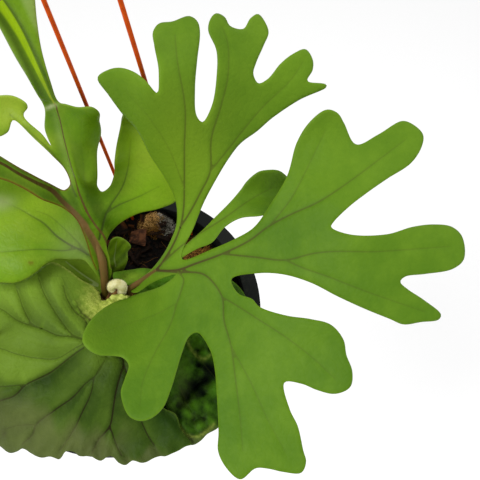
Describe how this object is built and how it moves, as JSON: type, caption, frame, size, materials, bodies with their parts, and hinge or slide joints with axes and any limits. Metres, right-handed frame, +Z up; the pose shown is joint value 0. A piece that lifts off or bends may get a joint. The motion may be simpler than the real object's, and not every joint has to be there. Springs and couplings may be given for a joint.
{
  "type": "potted staghorn fern",
  "caption": "Young staghorn fern with antler-like fronds and domed shield fronds, growing in a round plastic hanging pot on a wire hanger with a hook.",
  "frame": {"origin": "inside top of the hanger's hook, where it rests on its rail", "axes": "+Z up along the hanger, +Y towards the back of the plant, +X to its right as pictured"},
  "size_m": [0.2503, 0.165, 0.577],
  "materials": {
    "pot_plastic": "matte black moulded plastic",
    "hanger_wire": "wire with an orange-brown coating",
    "bark_mix": "coarse black-brown bark and coir mix",
    "rhizome_scales": "short stem under brown papery scales",
    "shield_green": "leathery shield frond with dark veins",
    "old_shield_green": "older dark green shield frond",
    "frond_green": "leathery fertile frond, satin",
    "bud_felt": "pale felted bud"
  },
  "bodies": {
    "root": {"hanger_hook": "hanger_wire", "hanger_strand_1": "hanger_wire", "hanger_strand_2": "hanger_wire", "hanger_strand_3": "hanger_wire", "pot": "pot_plastic", "growing_mix": "bark_mix", "rhizome": "rhizome_scales", "shield_frond_large": "shield_green", "shield_frond_right": "old_shield_green", "shield_frond_left": "old_shield_green", "shield_frond_back": "shield_green", "frond_right": "frond_green", "frond_left": "frond_green", "new_frond_bud": "bud_felt"}
  },
  "joints": []
}
